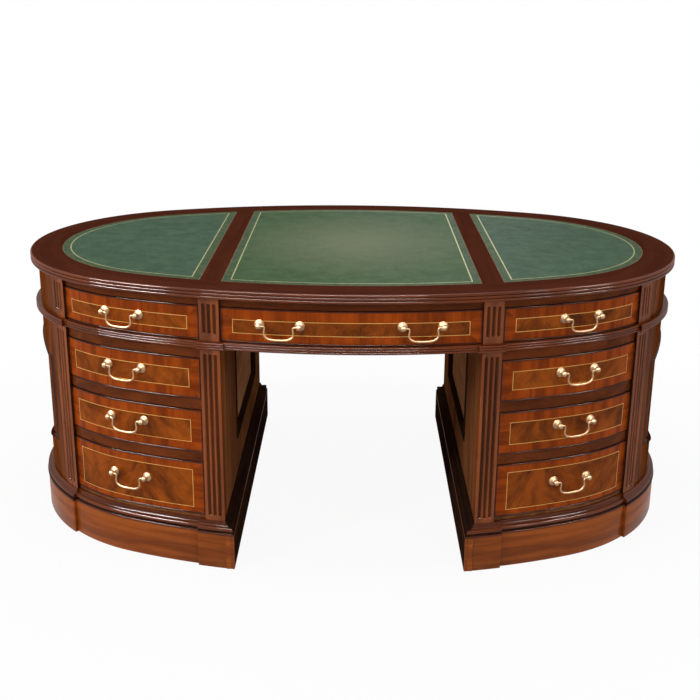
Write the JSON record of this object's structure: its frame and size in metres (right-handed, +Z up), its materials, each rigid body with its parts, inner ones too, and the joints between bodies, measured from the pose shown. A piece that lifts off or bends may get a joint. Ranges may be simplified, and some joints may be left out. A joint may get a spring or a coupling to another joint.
{
  "type": "partners desk",
  "caption": "Oval knee-hole partners desk with inset writing leathers, bowed drawers on swan-neck handles, fluted pilasters, curved panelled ends, plinths and cupboards at the back.",
  "frame": {"origin": "on the floor under the middle of the oval top", "axes": "+X to the right along the desk's length, +Y away from the side with four-drawer corners towards the side with cupboard doors, +Z up"},
  "size_m": [1.9016, 1.2256, 0.785],
  "materials": {
    "mahogany": "french polished",
    "green_leather": "waxed",
    "brass": "polished"
  },
  "bodies": {
    "desk": {"top_board": "mahogany", "centre_leather": "green_leather", "side_leathers": "green_leather", "frieze_carcass": "mahogany", "frieze_end_panels": "mahogany", "frieze_blocks": "mahogany", "frieze_moulding": "mahogany", "left_pedestal_carcass": "mahogany", "right_pedestal_carcass": "mahogany", "left_end_panel": "mahogany", "right_end_panel": "mahogany", "end_panel_beads": "mahogany", "pedestal_pilasters": "mahogany", "drawer_rails": "mahogany", "plinth_boards": "mahogany", "plinth_mouldings": "mahogany", "cupboard_shelves": "mahogany", "door_hinges": "brass"},
    "front_centre_frieze": {"front_centre_frieze_drawer": "mahogany", "front_centre_frieze_posts": "brass"},
    "front_centre_frieze_bail_right": {"front_centre_frieze_bail_right": "brass"},
    "front_centre_frieze_bail_left": {"front_centre_frieze_bail_left": "brass"},
    "back_centre_frieze": {"back_centre_frieze_drawer": "mahogany", "back_centre_frieze_posts": "brass"},
    "back_centre_frieze_bail_right": {"back_centre_frieze_bail_right": "brass"},
    "back_centre_frieze_bail_left": {"back_centre_frieze_bail_left": "brass"},
    "front_right_frieze": {"front_right_frieze_drawer": "mahogany", "front_right_frieze_posts": "brass"},
    "front_right_frieze_bail": {"front_right_frieze_bail": "brass"},
    "front_right_upper": {"front_right_upper_drawer": "mahogany", "front_right_upper_posts": "brass"},
    "front_right_upper_bail": {"front_right_upper_bail": "brass"},
    "front_right_middle": {"front_right_middle_drawer": "mahogany", "front_right_middle_posts": "brass"},
    "front_right_middle_bail": {"front_right_middle_bail": "brass"},
    "front_right_lower": {"front_right_lower_drawer": "mahogany", "front_right_lower_posts": "brass"},
    "front_right_lower_bail": {"front_right_lower_bail": "brass"},
    "front_left_frieze": {"front_left_frieze_drawer": "mahogany", "front_left_frieze_posts": "brass"},
    "front_left_frieze_bail": {"front_left_frieze_bail": "brass"},
    "front_left_upper": {"front_left_upper_drawer": "mahogany", "front_left_upper_posts": "brass"},
    "front_left_upper_bail": {"front_left_upper_bail": "brass"},
    "front_left_middle": {"front_left_middle_drawer": "mahogany", "front_left_middle_posts": "brass"},
    "front_left_middle_bail": {"front_left_middle_bail": "brass"},
    "front_left_lower": {"front_left_lower_drawer": "mahogany", "front_left_lower_posts": "brass"},
    "front_left_lower_bail": {"front_left_lower_bail": "brass"},
    "back_right_frieze": {"back_right_frieze_drawer": "mahogany", "back_right_frieze_posts": "brass"},
    "back_right_frieze_bail": {"back_right_frieze_bail": "brass"},
    "back_left_frieze": {"back_left_frieze_drawer": "mahogany", "back_left_frieze_posts": "brass"},
    "back_left_frieze_bail": {"back_left_frieze_bail": "brass"},
    "right_door": {"right_door": "mahogany", "right_door_fittings": "brass"},
    "left_door": {"left_door": "mahogany", "left_door_fittings": "brass"}
  },
  "joints": [
    {"name": "front_centre_frieze_slide", "type": "slide", "parent": "desk", "child": "front_centre_frieze", "axis": [0, -1, 0], "range_m": [0, 0.3]},
    {"name": "front_centre_frieze_bail_right_swing", "type": "hinge", "parent": "front_centre_frieze", "child": "front_centre_frieze_bail_right", "pos_m": [0.18389, -0.59275, 0.6945], "axis": [-0.9938, -0.1111, 0], "range_deg": [0, 90]},
    {"name": "front_centre_frieze_bail_left_swing", "type": "hinge", "parent": "front_centre_frieze", "child": "front_centre_frieze_bail_left", "pos_m": [-0.18389, -0.59275, 0.6945], "axis": [-0.9938, 0.1111, 0], "range_deg": [0, 90]},
    {"name": "back_centre_frieze_slide", "type": "slide", "parent": "desk", "child": "back_centre_frieze", "axis": [0, 1, 0], "range_m": [0, 0.3]},
    {"name": "back_centre_frieze_bail_right_swing", "type": "hinge", "parent": "back_centre_frieze", "child": "back_centre_frieze_bail_right", "pos_m": [0.18389, 0.59275, 0.6945], "axis": [0.9938, -0.1111, 0], "range_deg": [0, 90]},
    {"name": "back_centre_frieze_bail_left_swing", "type": "hinge", "parent": "back_centre_frieze", "child": "back_centre_frieze_bail_left", "pos_m": [-0.18389, 0.59275, 0.6945], "axis": [0.9938, 0.1111, 0], "range_deg": [0, 90]},
    {"name": "front_right_frieze_slide", "type": "slide", "parent": "desk", "child": "front_right_frieze", "axis": [0, -1, 0], "range_m": [0, 0.25]},
    {"name": "front_right_frieze_bail_swing", "type": "hinge", "parent": "front_right_frieze", "child": "front_right_frieze_bail", "pos_m": [0.61128, -0.48597, 0.6945], "axis": [-0.9292, -0.3696, 0], "range_deg": [0, 90]},
    {"name": "front_right_upper_slide", "type": "slide", "parent": "desk", "child": "front_right_upper", "axis": [0, -1, 0], "range_m": [0, 0.25]},
    {"name": "front_right_upper_bail_swing", "type": "hinge", "parent": "front_right_upper", "child": "front_right_upper_bail", "pos_m": [0.61128, -0.48597, 0.546], "axis": [-0.9292, -0.3696, 0], "range_deg": [0, 90]},
    {"name": "front_right_middle_slide", "type": "slide", "parent": "desk", "child": "front_right_middle", "axis": [0, -1, 0], "range_m": [0, 0.25]},
    {"name": "front_right_middle_bail_swing", "type": "hinge", "parent": "front_right_middle", "child": "front_right_middle_bail", "pos_m": [0.61128, -0.48597, 0.39776], "axis": [-0.9292, -0.3696, 0], "range_deg": [0, 90]},
    {"name": "front_right_lower_slide", "type": "slide", "parent": "desk", "child": "front_right_lower", "axis": [0, -1, 0], "range_m": [0, 0.25]},
    {"name": "front_right_lower_bail_swing", "type": "hinge", "parent": "front_right_lower", "child": "front_right_lower_bail", "pos_m": [0.61128, -0.48597, 0.23126], "axis": [-0.9292, -0.3696, 0], "range_deg": [0, 90]},
    {"name": "front_left_frieze_slide", "type": "slide", "parent": "desk", "child": "front_left_frieze", "axis": [0, -1, 0], "range_m": [0, 0.25]},
    {"name": "front_left_frieze_bail_swing", "type": "hinge", "parent": "front_left_frieze", "child": "front_left_frieze_bail", "pos_m": [-0.61128, -0.48597, 0.6945], "axis": [-0.9292, 0.3696, 0], "range_deg": [0, 90]},
    {"name": "front_left_upper_slide", "type": "slide", "parent": "desk", "child": "front_left_upper", "axis": [0, -1, 0], "range_m": [0, 0.25]},
    {"name": "front_left_upper_bail_swing", "type": "hinge", "parent": "front_left_upper", "child": "front_left_upper_bail", "pos_m": [-0.61128, -0.48597, 0.546], "axis": [-0.9292, 0.3696, 0], "range_deg": [0, 90]},
    {"name": "front_left_middle_slide", "type": "slide", "parent": "desk", "child": "front_left_middle", "axis": [0, -1, 0], "range_m": [0, 0.25]},
    {"name": "front_left_middle_bail_swing", "type": "hinge", "parent": "front_left_middle", "child": "front_left_middle_bail", "pos_m": [-0.61128, -0.48597, 0.39776], "axis": [-0.9292, 0.3696, 0], "range_deg": [0, 90]},
    {"name": "front_left_lower_slide", "type": "slide", "parent": "desk", "child": "front_left_lower", "axis": [0, -1, 0], "range_m": [0, 0.25]},
    {"name": "front_left_lower_bail_swing", "type": "hinge", "parent": "front_left_lower", "child": "front_left_lower_bail", "pos_m": [-0.61128, -0.48597, 0.23126], "axis": [-0.9292, 0.3696, 0], "range_deg": [0, 90]},
    {"name": "back_right_frieze_slide", "type": "slide", "parent": "desk", "child": "back_right_frieze", "axis": [0, 1, 0], "range_m": [0, 0.25]},
    {"name": "back_right_frieze_bail_swing", "type": "hinge", "parent": "back_right_frieze", "child": "back_right_frieze_bail", "pos_m": [0.61128, 0.48597, 0.6945], "axis": [0.9292, -0.3696, 0], "range_deg": [0, 90]},
    {"name": "back_left_frieze_slide", "type": "slide", "parent": "desk", "child": "back_left_frieze", "axis": [0, 1, 0], "range_m": [0, 0.25]},
    {"name": "back_left_frieze_bail_swing", "type": "hinge", "parent": "back_left_frieze", "child": "back_left_frieze_bail", "pos_m": [-0.61128, 0.48597, 0.6945], "axis": [0.9292, 0.3696, 0], "range_deg": [0, 90]},
    {"name": "right_door_swing", "type": "hinge", "parent": "desk", "child": "right_door", "pos_m": [0.7835, 0.3655, 0.36775], "axis": [0, 0, -1], "range_deg": [0, 100]},
    {"name": "left_door_swing", "type": "hinge", "parent": "desk", "child": "left_door", "pos_m": [-0.7835, 0.3655, 0.36775], "axis": [0, 0, 1], "range_deg": [0, 100]}
  ]
}
